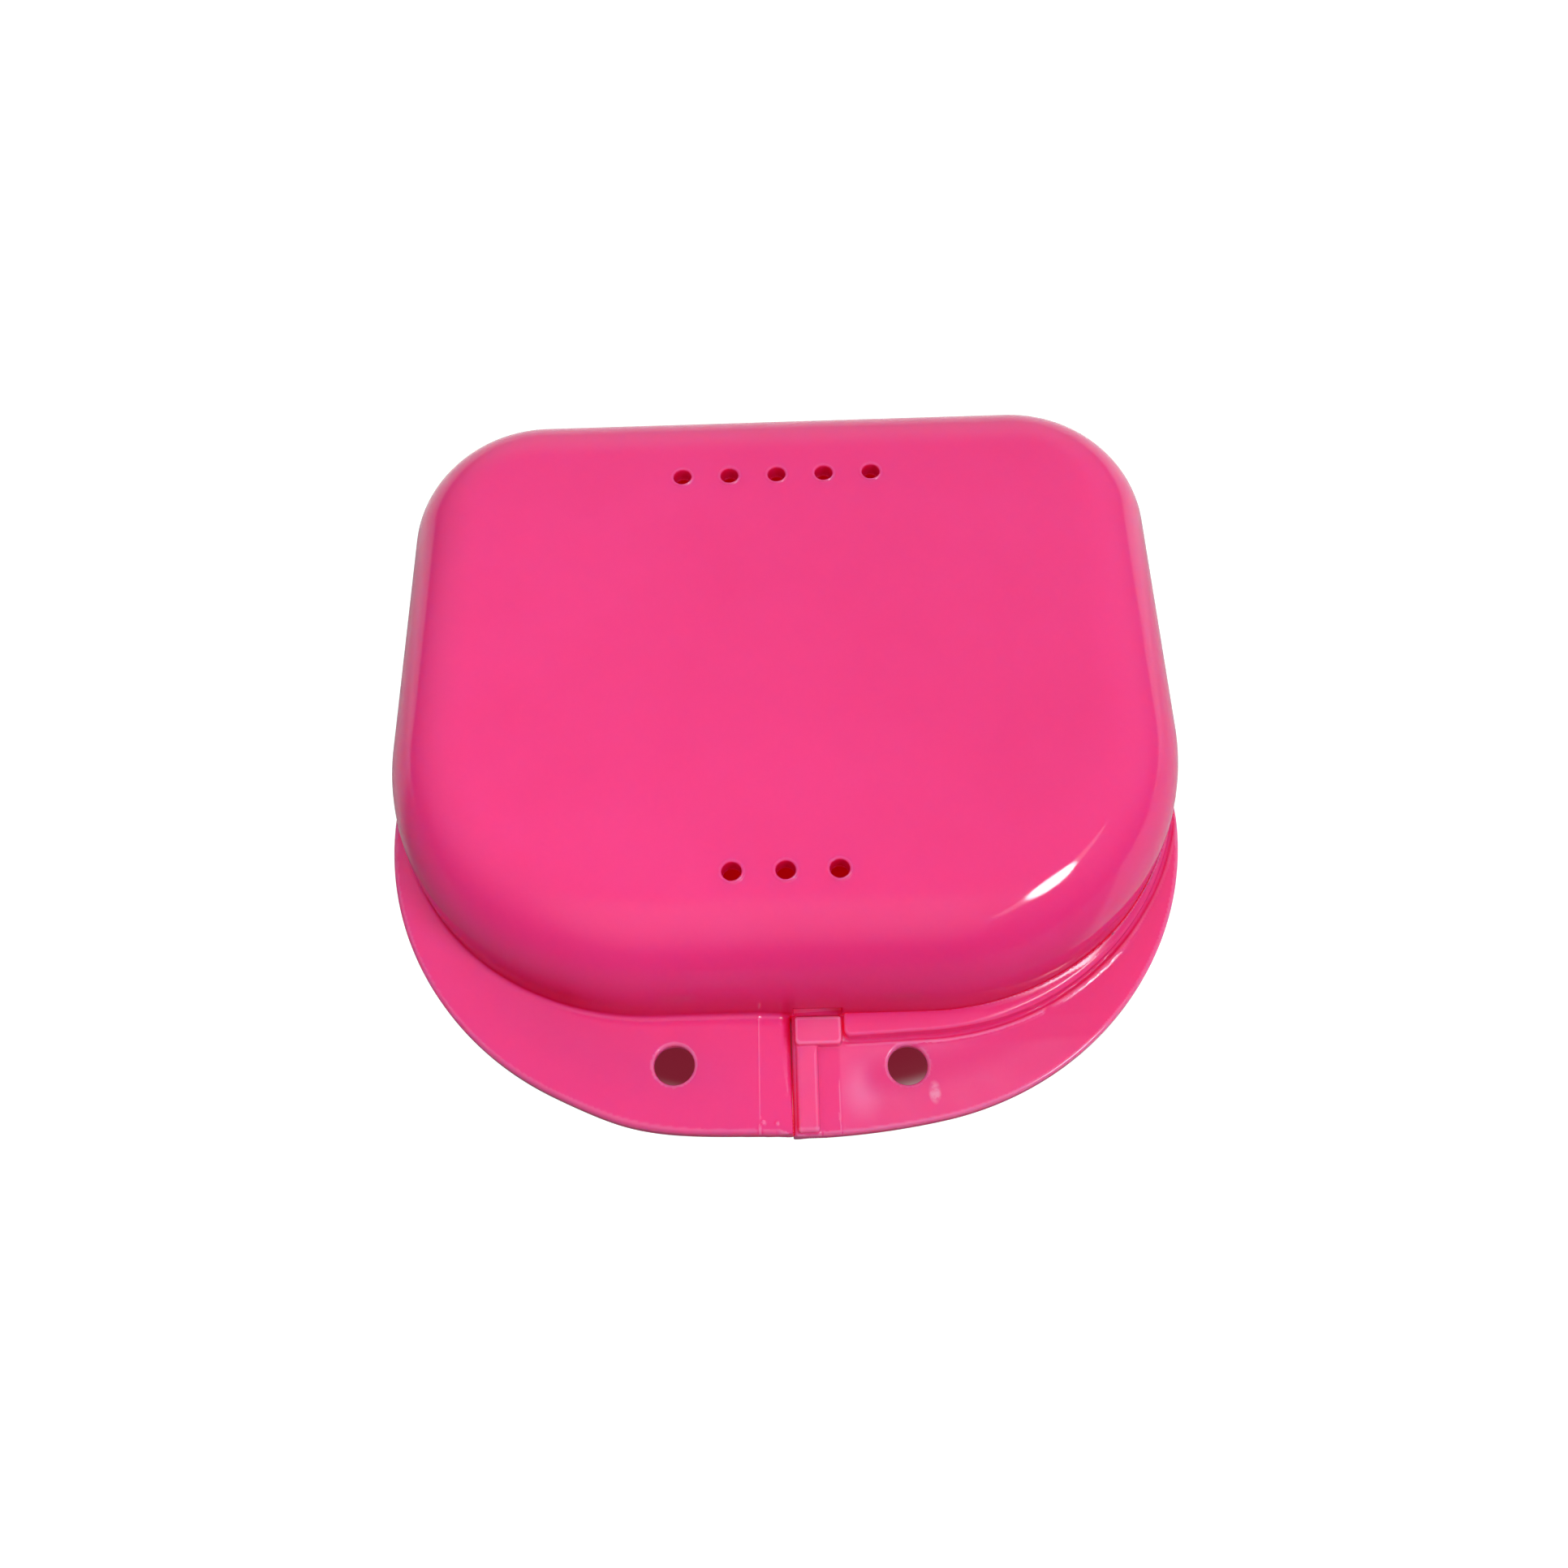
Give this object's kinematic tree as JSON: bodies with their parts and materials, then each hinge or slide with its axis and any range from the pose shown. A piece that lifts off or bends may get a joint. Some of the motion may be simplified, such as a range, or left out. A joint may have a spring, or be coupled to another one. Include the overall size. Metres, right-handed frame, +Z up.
{
  "type": "orthodontic retainer case",
  "caption": "Hinged pocket case for an orthodontic retainer: rounded glossy plastic shells with vent holes, a split front lip with finger scoops, cord holes and a catch block.",
  "frame": {"origin": "middle of the bottom of the closed case's bounding box", "axes": "+Z up, -Y towards the opening lip, +X to the right seen from the lip side"},
  "size_m": [0.0804, 0.084, 0.026],
  "materials": {
    "shell_base": "glossy hot-pink moulded plastic",
    "shell_lid": "glossy hot-pink moulded plastic",
    "hinge_pin": "same plastic, slightly duller"
  },
  "bodies": {
    "base": {"base": "shell_base", "hinge_pin_left": "hinge_pin"},
    "lid": {"lid": "shell_lid", "hinge_pin_right": "hinge_pin"}
  },
  "joints": [
    {"name": "lid_hinge", "type": "hinge", "parent": "base", "child": "lid", "pos_m": [0, 0.0398, 0.013], "axis": [-1, 0, 0], "range_deg": [0, 180]}
  ]
}
